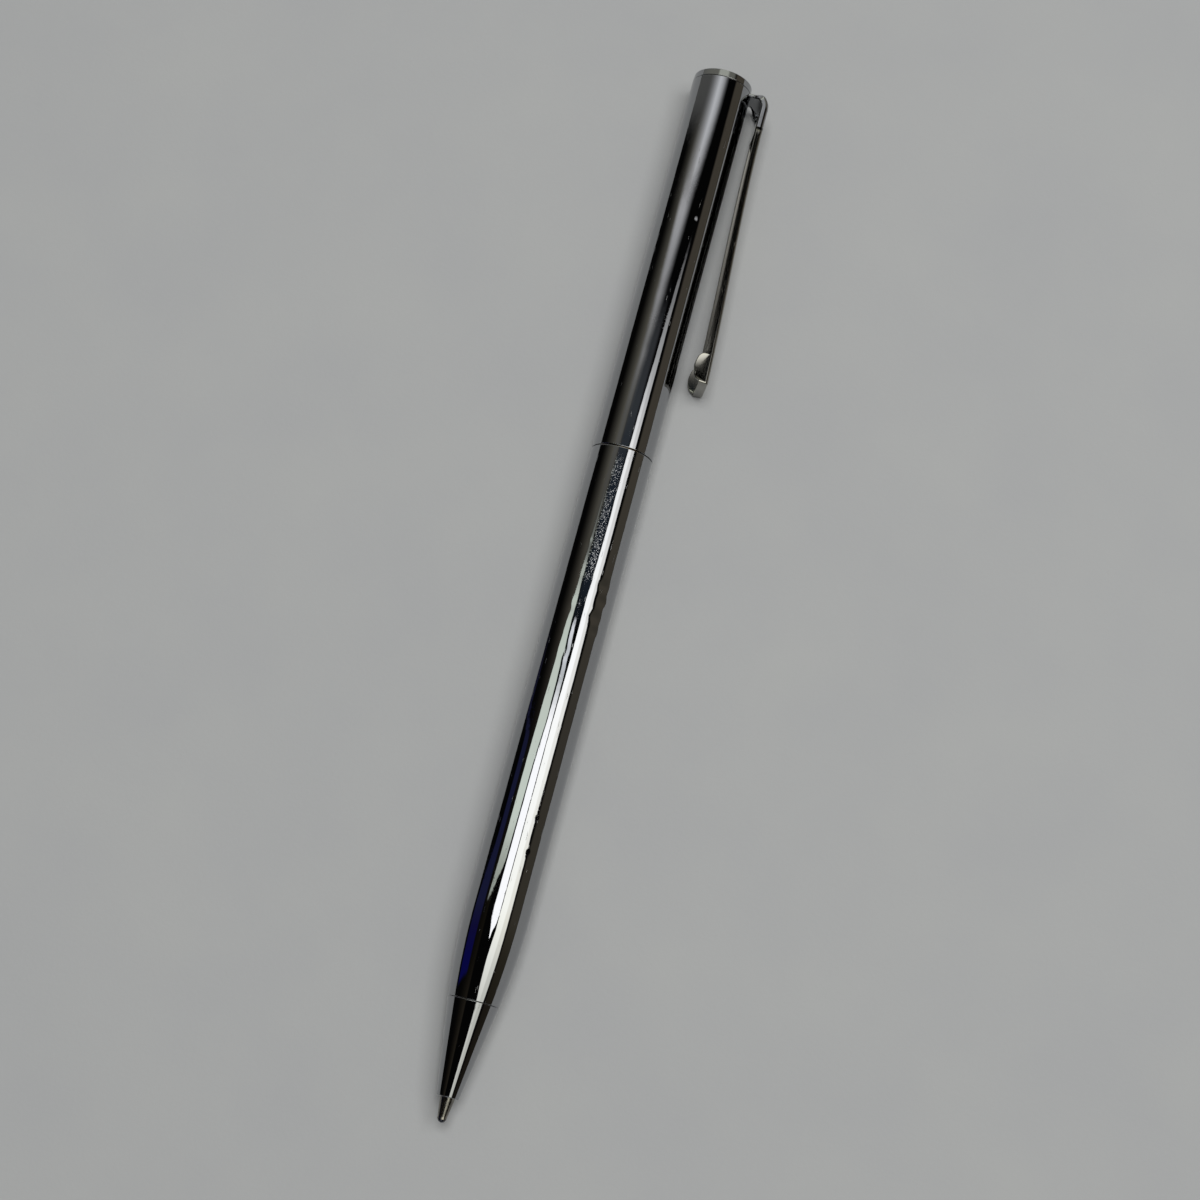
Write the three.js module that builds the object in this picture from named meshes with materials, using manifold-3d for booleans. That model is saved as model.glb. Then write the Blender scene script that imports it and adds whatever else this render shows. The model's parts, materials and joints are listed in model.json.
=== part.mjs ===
// A slim twist-action ballpoint pen of bright plated metal, with a pressed pocket clip.
// It lies on its side as it would on a table, with the edge of the clip's free end touching the table.
// Sizes are in millimetres. +Y runs along the pen to its cap end, +Z is up, and the clip is on the +X side.
import * as THREE from 'three';
import { mergeVertices } from 'three/addons/utils/BufferGeometryUtils.js';
import Module from 'manifold-3d';

const wasm = await Module();
wasm.setup();

// Lengths of what shows, in order from the writing point to the cap end
const pointOut = 2.9;
const noseLength = 11.15;
const lowerBarrelLength = 68.75;
const upperBarrelLength = 51.45;
const endDiscThickness = 0.95;

// Clearances
const seatGap = 0.05;
const runningGap = 0.1;
const twistSeam = 0.1;
const threadGap = 0.1;

// Refill: a brass tube with a metal point at one end and a screwed plastic plug at the other
const refillRadius = 1.6;
const refillWall = 0.25;
const refillPointLength = 13;
const refillPointNeck = 1.15;
const pointShankLength = 3;
const pointCollarLength = 1;
const plugStep = 0.5;
const plugCollarLength = 5;
const plugCollarProud = 0.15;
const plugShankLength = 5;
const plugStemLength = 8.5;
const inkLength = 62;

// Writing ball and the lip that holds it
const ballRadius = 0.5;
const ballGap = 0.03;
const lipAhead = 0.15;
const lipThickness = 0.045;
const tipShoulder = 0.65;
const tipShoulderRadius = 0.56;
const pointRadiusAtNose = 0.9;
const inkChannelRadius = 0.2;

// Twist mechanism, from the inside outwards
const travel = 4.2;
const halfTurn = Math.PI;
const followerWall = 0.8;
const followerLength = 13;
const followerTopLand = 1.7;
const pinRadius = 0.45;
const slotGap = 0.08;
const guideWall = 0.4;
const helixWall = 0.4;
const helixTopLand = 1.8;
const gripWall = 0.4;
const gripInset = 3;
const barrelWall = 0.4;
const ringThickness = 0.8;
const ringProud = 0.6;
const ringInset = 0.3;
const guideTubeRoom = 1;
const guideTubeInBush = 8;

// Centre bush, on which the upper barrel turns, and its washer
const centreBushLength = 10;
const centreSpigotLength = 4;
const washerThickness = 0.3;

// Nose
const noseEndRadius = 1.3;
const noseRootRadius = 3.08;
const noseLandLength = 0.4;
const noseThroatLength = 1.2;
const noseSpigotLength = 5.4;
const noseSpigotWall = 0.45;
const noseBoreLength = 4;
const passageGap = 0.15;
const taperLength = 11.4;
const frontBushInset = 0.5;
const frontBushLength = 5.4;

// Cap end
const endDiscEdge = 0.15;
const endStemRadius = 1.5;
const endStemLength = 6.4;
const clipBushLength = 6;
const clipEyeThickness = 0.5;
const clipEyeGap = 0.15;

// Clip: a pressed channel that is open towards the barrel
const clipWidth = 6;
const clipNeckWidth = 3.1;
const clipSheet = 0.4;
const clipEdgeRadius = 0.45;
const clipArchHeight = 1;
const clipHeadProud = 2.5;
const clipHeadDepth = 0.9;
const clipFlatLength = 0.6;
const clipHeadTop = 1.4;
const clipHeadLength = 3.6;
const clipSeam = 0.2;
const clipArmLength = 35.2;
const clipEndProud = 4;
const clipArmDepth = 0.85;
const clipEndDepth = 1.3;
const clipEarLength = 3.6;
const clipEarHeight = 0.95;
const clipEarInset = 0.25;
const clipBowStart = 0.03;
const clipBowEnd = 0.77;
const clipTongueLength = 2.8;
const clipTongueWidth = 3.4;
const clipTongueGap = 0.15;
const clipLift = 0.02;

// Facets
const roundSides = 48;
const smallSides = 24;
const taperSteps = 6;
const slotSteps = 22;
const cupSteps = 6;
const ballSides = 16;
const armSteps = 10;
const earSteps = 10;
const edgeSteps = 3;
const weld = 1e-4;

// Radii that follow from the sizes above, from the inside outwards
const plugStemRadius = refillRadius - plugStep;
const followerBore = plugStemRadius + threadGap;
const followerRadius = followerBore + followerWall;
const guideBore = followerRadius + runningGap;
const guideRadius = guideBore + guideWall;
const helixBore = guideRadius + runningGap;
const helixRadius = helixBore + helixWall;
const gripBore = helixRadius + seatGap;
const gripRadius = gripBore + gripWall;
const barrelBore = gripRadius + seatGap;
const barrelRadius = barrelBore + barrelWall;
const refillPassage = refillRadius + passageGap;
const noseSpigotRadius = refillPassage + noseSpigotWall;

// Places along the axis that follow from the lengths, from the writing point at 0
const noseJoint = pointOut + noseLength;
const lowerBarrelStart = noseJoint + seatGap;
const twistJoint = lowerBarrelStart + lowerBarrelLength;
const upperBarrelStart = twistJoint + twistSeam;
const rimEnd = upperBarrelStart + upperBarrelLength;
const endDiscStart = rimEnd + seatGap;
const penLength = endDiscStart + endDiscThickness;
const clipEyeTop = endDiscStart - seatGap;
const clipEyeStart = clipEyeTop - clipEyeThickness;
const clipBushTop = clipEyeStart - seatGap;
const clipBushStart = clipBushTop - clipBushLength;
const guideTubeTop = clipBushStart - guideTubeRoom;
const ringTop = guideTubeTop - ringInset;
const ringStart = ringTop - ringThickness;
const helixTop = ringStart - runningGap;
const pinIn = helixTop - helixTopLand;
const pinOut = pinIn - travel;
const followerTop = pinOut + followerTopLand;
const followerStart = followerTop - followerLength;
const plugCollarTop = followerStart - seatGap;
const plugCollarStart = plugCollarTop - plugCollarLength;
const refillTubeEnd = plugCollarStart - seatGap;
const refillTubeStart = refillPointLength - pointShankLength + seatGap;
const spigotEnd = twistJoint + centreSpigotLength;
const washerStart = spigotEnd + seatGap;
const washerEnd = washerStart + washerThickness;
const helixStart = washerEnd + runningGap;
const inkStart = refillPointLength + seatGap;
const lead = travel / halfTurn;

// Places and distances from the axis that the clip's two pieces share
const clipHeadOut = barrelRadius + clipHeadProud;
const clipHeadIn = clipHeadOut - clipHeadDepth;
const clipEndOut = barrelRadius + clipEndProud;
const clipHeadStart = clipEyeTop - clipHeadTop;
const headEnd = clipHeadStart - clipHeadLength;
const armStart = headEnd - clipSeam;
const armEnd = armStart - clipArmLength;

// The clip's free corner rests on the table, and this sets how far the clip is turned down from level
const cornerOut = clipEndOut - clipEdgeRadius;
const cornerDown = clipWidth / 2 - clipEdgeRadius;
const cornerReach = Math.hypot(cornerOut, cornerDown);
const cornerDrop = barrelRadius - clipEdgeRadius - clipLift;
const clipTurn = Math.asin(cornerDrop / cornerReach) - Math.atan2(cornerDown, cornerOut);

const finishes = {
  chrome: { color: 0xd9dbde, roughness: 0.06, metalness: 1 },
  brass: { color: 0xc9a55a, roughness: 0.35, metalness: 1 },
  steel: { color: 0xb8babd, roughness: 0.25, metalness: 1 },
  nickelSilver: { color: 0xb9b6aa, roughness: 0.2, metalness: 1 },
  carbide: { color: 0x6c6e72, roughness: 0.2, metalness: 1 },
  nylon: { color: 0xe9e6da, roughness: 0.5, metalness: 0 },
  ink: { color: 0x14163a, roughness: 0.3, metalness: 0 },
};

// Merges the shared corners of a closed geometry and turns its faces outwards, which gives a solid that
// can be cut and joined
function solid(geometry) {
  const bare = new THREE.BufferGeometry();
  bare.setAttribute('position', geometry.getAttribute('position'));
  bare.setIndex(geometry.getIndex());
  const merged = mergeVertices(bare, weld);
  const place = merged.getAttribute('position');
  const corners = Array.from(merged.getIndex().array);
  const triangles = [];
  let volume = 0;
  for (let i = 0; i < corners.length; i += 3) {
    const [a, b, c] = corners.slice(i, i + 3);
    if (a === b || b === c || c === a) continue;
    const [p, q, r] = [a, b, c].map((k) => new THREE.Vector3().fromBufferAttribute(place, k));
    volume += p.dot(q.cross(r));
    triangles.push([a, b, c]);
  }
  if (volume < 0) triangles.forEach((corner) => corner.reverse());
  return new wasm.Manifold(new wasm.Mesh({
    numProp: 3,
    vertProperties: Float32Array.from(place.array),
    triVerts: Uint32Array.from(triangles.flat()),
  }));
}

// Turns a solid back into a named mesh with its finish
function piece(name, body, finish) {
  const { vertProperties, triVerts } = body.getMesh();
  const geometry = new THREE.BufferGeometry();
  geometry.setAttribute('position', new THREE.BufferAttribute(vertProperties, 3));
  geometry.setIndex(new THREE.BufferAttribute(triVerts, 1));
  geometry.computeVertexNormals();
  const mesh = new THREE.Mesh(geometry, new THREE.MeshStandardMaterial(finishes[finish]));
  mesh.name = name;
  return mesh;
}

// Revolves an outline about the pen's axis. Its points are [radius, place along the axis].
function turned(outline, sides = roundSides) {
  const points = [...outline, outline[0]].map(([radius, along]) => new THREE.Vector2(radius, along));
  return solid(new THREE.LatheGeometry(points, sides));
}

function tube(inner, outer, start, end) {
  return turned([[outer, start], [outer, end], [inner, end], [inner, start]]);
}

function rod(radius, start, end, sides = roundSides) {
  return turned([[0, start], [radius, start], [radius, end], [0, end]], sides);
}

function block(low, high) {
  const size = high.map((value, k) => value - low[k]);
  const box = new THREE.BoxGeometry(...size);
  box.translate(...low.map((value, k) => value + size[k] / 2));
  return solid(box);
}

// A flat outline of [out, across] points carried along the pen
function carriedAlong(outline, start, end) {
  const shape = new THREE.Shape(outline.map(([out, across]) => new THREE.Vector2(out, -across)));
  const form = new THREE.ExtrudeGeometry(shape, { depth: end - start, bevelEnabled: false });
  form.rotateX(-Math.PI / 2);
  form.translate(0, start, 0);
  return solid(form);
}

// A flat outline of [out, along] points carried across the pen, half of it to each side
function carriedAcross(outline, width) {
  const shape = new THREE.Shape(outline.map(([out, along]) => new THREE.Vector2(out, along)));
  const form = new THREE.ExtrudeGeometry(shape, { depth: width, bevelEnabled: false });
  form.translate(0, 0, -width / 2);
  return solid(form);
}

// Joins rings with the same count of points into one closed skin. The flat outline says how the two
// end rings are cut into triangles, so a ring may be a channel.
function lofted(rings, flatOutline) {
  const count = flatOutline.length;
  const last = (rings.length - 1) * count;
  const faces = [];
  for (let start = 0; start < last; start += count) {
    for (let j = 0; j < count; j += 1) {
      const a = start + j;
      const b = start + (j + 1) % count;
      faces.push(a, b, b + count, a, b + count, a + count);
    }
  }
  const flat = flatOutline.map(([x, y]) => new THREE.Vector2(x, y));
  const turn = Math.sign(THREE.ShapeUtils.area(flat));
  for (const corners of THREE.ShapeUtils.triangulateShape(flat, [])) {
    const [a, b, c] = turn > 0 ? corners : corners.slice().reverse();
    faces.push(a, c, b, last + a, last + b, last + c);
  }
  const geometry = new THREE.BufferGeometry();
  geometry.setAttribute('position', new THREE.Float32BufferAttribute(rings.flat(2), 3));
  geometry.setIndex(faces);
  return solid(geometry);
}

function steps(start, end, count) {
  return Array.from({ length: count + 1 }, (_, i) => start + (end - start) * i / count);
}

// Radius of the lower barrel's outside: straight, then an arc that eases in to the nose joint
function barrelOutside(along) {
  const intoArc = Math.max(0, noseJoint + taperLength - along);
  const drop = barrelRadius - noseRootRadius;
  const arcRadius = (taperLength ** 2 + drop ** 2) / (2 * drop);
  return barrelRadius - arcRadius + Math.sqrt(arcRadius ** 2 - intoArc ** 2);
}

// Nose cone: turned, with a throat that steadies the refill's point and a screwed spigot. It is unscrewed
// to change the refill.
function makeNoseCone() {
  const throat = pointRadiusAtNose + runningGap;
  const landEnd = pointOut + noseLandLength;
  const throatEnd = landEnd + noseThroatLength;
  const spigotTop = noseJoint + noseSpigotLength;
  return turned([
    [throat, pointOut],
    [noseEndRadius, pointOut],
    [noseRootRadius, noseJoint],
    [noseSpigotRadius, noseJoint],
    [noseSpigotRadius, spigotTop],
    [refillPassage, spigotTop],
    [refillPassage, throatEnd + noseBoreLength],
    [refillPointNeck + runningGap, throatEnd],
    [throat, landEnd],
  ]);
}

// Lower barrel: a thin drawn tube, swaged in at its end to meet the nose cone
function makeLowerBarrel() {
  const places = steps(lowerBarrelStart, noseJoint + taperLength, taperSteps);
  const outside = places.map((along) => [barrelOutside(along), along]);
  const inside = outside.map(([radius, along]) => [radius - barrelWall, along]).reverse();
  return turned([...outside, [barrelRadius, twistJoint], [barrelBore, twistJoint], ...inside]);
}

// Front bush: the threaded insert fixed in the lower barrel's end, into which the nose cone screws
function makeFrontBush() {
  const start = lowerBarrelStart + frontBushInset;
  const end = start + frontBushLength;
  const bore = noseSpigotRadius + threadGap;
  const outside = steps(start, end, taperSteps)
    .map((along) => [barrelOutside(along) - barrelWall - seatGap, along]);
  return turned([...outside, [bore, end], [bore, start]]);
}

// Centre bush: pressed into the lower barrel; the upper barrel turns on its spigot
function makeCentreBush() {
  const bore = guideRadius + seatGap;
  return turned([
    [bore, twistJoint - centreBushLength],
    [barrelBore - seatGap, twistJoint - centreBushLength],
    [barrelBore - seatGap, twistJoint],
    [barrelBore - runningGap, twistJoint],
    [barrelBore - runningGap, spigotEnd],
    [bore, spigotEnd],
  ]);
}

// Guide tube: fixed in the centre bush, with a straight slot in each side for the follower's pin
function makeGuideTube() {
  const half = pinRadius + slotGap;
  const reach = guideRadius + guideWall;
  return tube(guideBore, guideRadius, twistJoint - guideTubeInBush, guideTubeTop)
    .subtract(block([-reach, pinOut - half, -half], [reach, pinIn + half, half]));
}

// One helical slot through the sleeve's wall. In half a turn it climbs by the refill's travel, and it runs
// on at both ends by the room that the pin needs.
function helicalSlot(startAngle) {
  const middle = (helixBore + helixRadius) / 2;
  const halfWidth = pinRadius + slotGap;
  const overrun = halfWidth / middle;
  const halfHeight = halfWidth / Math.cos(Math.atan(lead / middle));
  const inner = helixBore - helixWall;
  const outer = helixRadius + helixWall;
  const section = [[inner, -halfHeight], [outer, -halfHeight], [outer, halfHeight], [inner, halfHeight]];
  const rings = steps(-overrun, halfTurn + overrun, slotSteps).map((turn) => {
    const angle = startAngle + turn;
    const along = pinOut + lead * turn;
    return section.map(([radius, y]) => [radius * Math.cos(angle), along + y, radius * Math.sin(angle)]);
  });
  return lofted(rings, section);
}

// Helix sleeve: turns with the upper barrel, and its two slots drive both ends of the pin. The pin is level,
// so the slots begin at the angle by which the clip is turned down.
function makeHelixSleeve() {
  return tube(helixBore, helixRadius, helixStart, helixTop)
    .subtract(helicalSlot(clipTurn))
    .subtract(helicalSlot(clipTurn + Math.PI));
}

// A rod across the pen, where the follower's pin lies while the point is out
function crossRod(radius, halfLength) {
  const pin = new THREE.CylinderGeometry(radius, radius, 2 * halfLength, smallSides);
  pin.rotateZ(Math.PI / 2);
  pin.translate(0, pinOut, 0);
  return solid(pin);
}

// Follower: a moulded carrier that slides in the guide tube, with a socket for the refill's plug
function makeFollower() {
  const socketEnd = followerStart + plugStemLength + seatGap;
  return turned([
    [0, socketEnd],
    [followerBore, socketEnd],
    [followerBore, followerStart],
    [followerRadius, followerStart],
    [followerRadius, followerTop],
    [0, followerTop],
  ]).subtract(crossRod(pinRadius + seatGap, followerRadius + followerWall));
}

// Refill point: a turned housing, its rim rolled over the ball, with a shank pushed into the tube
function makeRefillPoint() {
  const socket = ballRadius + ballGap;
  const taper = (pointRadiusAtNose - tipShoulderRadius) / (pointOut - tipShoulder);
  const neckStart = tipShoulder + (refillPointNeck - tipShoulderRadius) / taper;
  const collarStart = refillTubeStart - seatGap - pointCollarLength;
  const shank = refillRadius - refillWall - seatGap;
  const socketStart = Math.asin(inkChannelRadius / socket);
  const socketEnd = Math.PI / 2 + Math.asin(lipAhead / socket);
  const cup = steps(socketStart, socketEnd, cupSteps)
    .map((angle) => [socket * Math.sin(angle), ballRadius + socket * Math.cos(angle)]);
  const [rimRadius, rimPlace] = cup[cupSteps];
  return turned([
    [rimRadius + lipThickness, rimPlace],
    [tipShoulderRadius, tipShoulder],
    [refillPointNeck, neckStart],
    [refillPointNeck, collarStart - refillRadius + refillPointNeck],
    [refillRadius, collarStart],
    [refillRadius, refillTubeStart - seatGap],
    [shank, refillTubeStart - seatGap],
    [shank, refillPointLength],
    [inkChannelRadius, refillPointLength],
    ...cup,
  ], smallSides);
}

// Refill plug: a collar and a screwed stem, with a shank pushed into the tube
function makeRefillPlug() {
  const shank = refillRadius - refillWall - seatGap;
  const collar = refillRadius + plugCollarProud;
  return turned([
    [0, refillTubeEnd - plugShankLength],
    [shank, refillTubeEnd - plugShankLength],
    [shank, plugCollarStart],
    [collar, plugCollarStart],
    [collar, plugCollarTop],
    [plugStemRadius, plugCollarTop],
    [plugStemRadius, plugCollarTop + plugStemLength],
    [0, plugCollarTop + plugStemLength],
  ]);
}

// End cap: the flat disc that closes the pen, in one with the screwed stem that holds the clip down
function makeEndCap() {
  return turned([
    [0, endDiscStart - endStemLength],
    [endStemRadius, endDiscStart - endStemLength],
    [endStemRadius, endDiscStart],
    [barrelRadius, endDiscStart],
    [barrelRadius, penLength - endDiscEdge],
    [barrelRadius - endDiscEdge, penLength],
    [0, penLength],
  ]);
}

// Upper barrel: a thin drawn tube with a notch in its rim, through which the clip's neck comes out
function makeUpperBarrel() {
  const half = clipNeckWidth / 2 + seatGap;
  const reach = barrelRadius + barrelWall;
  return tube(barrelBore, barrelRadius, upperBarrelStart, rimEnd)
    .subtract(block([0, clipEyeStart - seatGap, -half], [reach, rimEnd + barrelWall, half]));
}

// Half of the rounded outer side of the clip, seen along the pen: from its middle round to its edge
function roundedSide(out, half, radius) {
  return steps(0, Math.PI / 2, edgeSteps)
    .map((angle) => [out - radius + radius * Math.cos(angle), half - radius + radius * Math.sin(angle)]);
}

// A whole outline that is alike on both sides, from the points of its +across half
function mirrored(points) {
  return [...points, ...points.map(([out, across]) => [out, -across]).reverse()];
}

// Clip bracket: the fixed root of the clip. Its eye lies round the end cap's stem, its neck comes out
// through the barrel's notch, and the sheet arches over and widens into a hollow head.
function makeClipBracket() {
  const neckHalf = clipNeckWidth / 2;
  const plan = (inset) => mirrored([
    ...roundedSide(clipHeadOut - inset, clipWidth / 2 - inset, clipEdgeRadius - inset / 2),
    [clipHeadIn, clipWidth / 2 - inset],
    [barrelRadius, neckHalf - inset],
    [0, neckHalf - inset],
  ]);
  const flatEnd = barrelRadius + clipFlatLength;
  const archSide = [
    [0, clipEyeTop],
    [flatEnd, clipEyeTop],
    [clipHeadOut, clipHeadStart],
    [clipHeadOut, headEnd],
    [clipHeadIn, headEnd],
    [clipHeadIn, clipHeadStart - clipSheet],
    [flatEnd, clipEyeTop - clipArchHeight],
    [0, clipEyeTop - clipArchHeight],
  ];
  const archHollow = [
    [0, clipEyeTop - clipSheet],
    [flatEnd - clipSheet / 2, clipEyeTop - clipSheet],
    [clipHeadOut - clipSheet, clipHeadStart - clipSheet / 2],
    [clipHeadOut - clipSheet, headEnd - clipSheet],
    [0, headEnd - clipSheet],
  ];
  const outer = carriedAcross(archSide, clipWidth)
    .intersect(carriedAlong(plan(0), headEnd, clipEyeTop));
  const inner = carriedAcross(archHollow, clipWidth)
    .intersect(carriedAlong(plan(clipSheet), headEnd - clipSheet, clipEyeTop));
  const shell = outer.subtract(inner).subtract(rod(barrelRadius + seatGap, headEnd, clipEyeTop));
  const eye = tube(endStemRadius + clipEyeGap, barrelBore - seatGap, clipEyeStart, clipEyeTop);
  const neck = block([endStemRadius + clipEyeGap * 2, clipEyeStart, -neckHalf], [flatEnd, clipEyeTop, neckHalf]);
  return eye.add(neck).add(shell);
}

// Clip arm: the long sprung channel. Its sides deepen towards the free end, where two rounded ears grip the
// cloth. A wall closes each end, and a tongue on the upper one is held inside the head.
function makeClipArm() {
  const earStart = armEnd + clipEarInset;
  const earMiddle = earStart + clipEarLength / 2;
  const bow = new THREE.CubicBezierCurve(
    new THREE.Vector2(0, clipHeadOut),
    new THREE.Vector2(1 / 3, THREE.MathUtils.lerp(clipHeadOut, clipEndOut, clipBowStart)),
    new THREE.Vector2(2 / 3, THREE.MathUtils.lerp(clipHeadOut, clipEndOut, clipBowEnd)),
    new THREE.Vector2(1, clipEndOut),
  );
  const outAt = (along) => bow.getPoint((armStart - along) / clipArmLength).y;
  const depthAt = (along) => {
    const share = (armStart - along) / clipArmLength;
    return THREE.MathUtils.lerp(clipArmDepth, clipEndDepth, share ** 2);
  };
  const earAt = (along) => {
    const fromMiddle = (along - earMiddle) / (clipEarLength / 2);
    return clipEarHeight * Math.sqrt(Math.max(0, 1 - fromMiddle ** 2));
  };
  const channelAt = (along) => {
    const out = outAt(along);
    const lip = out - depthAt(along) - earAt(along);
    return mirrored([
      ...roundedSide(out, clipWidth / 2, clipEdgeRadius),
      [lip, clipWidth / 2],
      [lip, clipWidth / 2 - clipSheet],
      [out - clipSheet, clipWidth / 2 - clipSheet],
    ]);
  };
  const wallAt = (along) => mirrored([
    ...roundedSide(outAt(along), clipWidth / 2, clipEdgeRadius),
    [outAt(along) - depthAt(along), clipWidth / 2],
  ]);
  const places = [
    ...steps(armStart, earStart + clipEarLength, armSteps),
    ...steps(0, Math.PI, earSteps).slice(1).map((angle) => earMiddle + clipEarLength / 2 * Math.cos(angle)),
    armEnd,
  ];
  const rings = places.map((along) => channelAt(along).map(([out, across]) => [out, along, across]));
  const tongueTop = clipHeadOut - clipSheet - clipTongueGap;
  const tongue = block(
    [tongueTop - clipSheet, armStart - clipSheet, -clipTongueWidth / 2],
    [tongueTop, armStart + clipSeam + clipTongueLength, clipTongueWidth / 2],
  );
  return lofted(rings, channelAt(armStart))
    .add(carriedAlong(wallAt(armEnd), armEnd, armEnd + clipSheet))
    .add(carriedAlong(wallAt(armStart), armStart - clipSheet, armStart))
    .add(tongue);
}

function makeBall() {
  const form = new THREE.SphereGeometry(ballRadius, ballSides, ballSides / 2);
  form.translate(0, ballRadius, 0);
  return solid(form);
}

// The pieces that stay with the lower barrel
const lower = new THREE.Group();
lower.add(
  piece('nose_cone', makeNoseCone(), 'chrome'),
  piece('lower_barrel', makeLowerBarrel(), 'chrome'),
  piece('front_bush', makeFrontBush(), 'brass'),
  piece('centre_bush', makeCentreBush(), 'brass'),
  piece('guide_tube', makeGuideTube(), 'brass'),
  piece('thrust_washer', tube(guideRadius + seatGap, barrelBore - runningGap, washerStart, washerEnd), 'nylon'),
  piece('retaining_ring', tube(guideRadius + seatGap, guideRadius + ringProud, ringStart, ringTop), 'steel'),
);

// The pieces that turn with the upper barrel, and the clip's sprung arm
const upper = new THREE.Group();
upper.add(
  piece('upper_barrel', makeUpperBarrel(), 'chrome'),
  piece('helix_sleeve', makeHelixSleeve(), 'brass'),
  piece('grip_sleeve', tube(gripBore, gripRadius, helixStart + gripInset, helixTop - gripInset), 'nylon'),
  piece('clip_bush', tube(endStemRadius + threadGap, barrelBore - seatGap, clipBushStart, clipBushTop), 'brass'),
  piece('end_cap', makeEndCap(), 'chrome'),
  piece('clip_bracket', makeClipBracket(), 'chrome'),
  piece('clip_arm', makeClipArm(), 'chrome'),
);

// The pieces that slide out and in with the refill
const refill = new THREE.Group();
refill.add(
  piece('refill_follower', makeFollower(), 'nylon'),
  piece('follower_pin', crossRod(pinRadius, helixRadius - seatGap), 'steel'),
  piece('refill_plug', makeRefillPlug(), 'nylon'),
  piece('refill_tube', tube(refillRadius - refillWall, refillRadius, refillTubeStart, refillTubeEnd), 'brass'),
  piece('ink', rod(refillRadius - refillWall - seatGap, inkStart, inkStart + inkLength), 'ink'),
  piece('refill_point', makeRefillPoint(), 'nickelSilver'),
  piece('writing_ball', makeBall(), 'carbide'),
);

// The whole pen, turned so that the clip's corner meets the table, with its origin under its middle
upper.rotation.y = clipTurn;
const pen = new THREE.Group();
pen.add(lower, upper, refill);
const extent = new THREE.Box3().setFromObject(pen, true);
const middle = extent.getCenter(new THREE.Vector3());
pen.position.set(-middle.x, -middle.y, -extent.min.z);

export default pen;
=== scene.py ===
# A slim twist-action ballpoint pen in bright chromium plate, lying on a pale sheet of paper under soft
# light. Its point is out and its clip is turned a little down, so that the clip's corner meets the paper.
import json
import math
import bpy
import numpy as np
from mathutils import Matrix, Vector


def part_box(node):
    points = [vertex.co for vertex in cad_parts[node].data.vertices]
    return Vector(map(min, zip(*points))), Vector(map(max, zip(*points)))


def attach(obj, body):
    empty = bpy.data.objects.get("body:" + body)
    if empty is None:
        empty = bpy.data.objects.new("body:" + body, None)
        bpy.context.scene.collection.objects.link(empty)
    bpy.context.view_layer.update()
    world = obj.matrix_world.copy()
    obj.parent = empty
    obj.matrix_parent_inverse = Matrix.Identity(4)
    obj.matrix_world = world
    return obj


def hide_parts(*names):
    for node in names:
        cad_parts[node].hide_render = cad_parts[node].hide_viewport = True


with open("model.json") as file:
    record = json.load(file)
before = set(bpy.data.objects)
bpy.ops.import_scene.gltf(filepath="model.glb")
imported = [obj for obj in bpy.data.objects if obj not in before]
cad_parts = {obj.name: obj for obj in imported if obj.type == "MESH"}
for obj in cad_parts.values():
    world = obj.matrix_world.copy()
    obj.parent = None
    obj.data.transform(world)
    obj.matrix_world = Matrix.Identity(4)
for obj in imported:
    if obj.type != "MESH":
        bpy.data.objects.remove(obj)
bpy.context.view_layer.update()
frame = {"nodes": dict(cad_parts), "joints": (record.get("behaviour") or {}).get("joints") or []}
nodes = frame["nodes"]
scene = bpy.context.scene
scene.view_settings.view_transform = "Standard"

# The camera. It hangs 251 mm over the pen, above the writing point, and looks along the pen towards the cap
# end. It leans to the clip's side by 5.4 degrees and is turned, so that the pen runs from the lower left of
# the picture to its upper right.
barrel_low, barrel_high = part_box("lower_barrel")
axis_x = (barrel_low.x + barrel_high.x) / 2
axis_z = (barrel_low.z + barrel_high.z) / 2
tip_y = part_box("writing_ball")[0].y
camera_lean = math.radians(5.4)
camera_swing = math.radians(-1.8752)
camera_tilt = math.radians(13.8485)
camera_roll = math.radians(17.0303)
camera_height = 0.25105
camera_ahead = 0.00259
photo_width_px = 1200
focal_px = 2121.5
lean = Matrix.Rotation(camera_lean, 3, "Y")
swing_and_tilt = Matrix.Rotation(camera_swing, 3, "Z") @ Matrix.Rotation(camera_tilt, 3, "X")
aim = lean @ swing_and_tilt @ Matrix.Rotation(camera_roll, 3, "Z")
camera_data = bpy.data.cameras.new("camera")
camera_data.sensor_width = 36
camera_data.lens = focal_px / photo_width_px * camera_data.sensor_width
camera_data.clip_start = 0.01
camera = bpy.data.objects.new("camera", camera_data)
camera.matrix_world = aim.to_4x4()
camera.location = lean @ Vector((0, camera_ahead, camera_height)) + Vector((axis_x, tip_y, axis_z))
scene.collection.objects.link(camera)
scene.camera = camera


# The table: one sheet of matt paper, pale grey, that runs out of view on every side. Uncoated paper is
# slightly uneven: its tone and height vary over a centimetre or two, and its fibres are about half a
# millimetre long.
def linear(colour):
    """An sRGB hex colour such as "#a3a4a3" as linear red, green, blue and alpha."""
    srgb = np.array([int(colour[k:k + 2], 16) for k in (1, 3, 5)]) / 255
    return (*np.where(srgb > 0.04045, ((srgb + 0.055) / 1.055) ** 2.4, srgb / 12.92).tolist(), 1.0)


def add_node(tree, kind, sockets=None, **settings):
    """Adds a shader node with its settings, and gives each named socket a value or a link to an output."""
    made = tree.nodes.new("ShaderNode" + kind)
    for name, value in settings.items():
        setattr(made, name, value)
    for name, value in (sockets or {}).items():
        if isinstance(value, bpy.types.NodeSocket):
            tree.links.new(value, made.inputs[name])
        else:
            made.inputs[name].default_value = value
    return made


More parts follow.
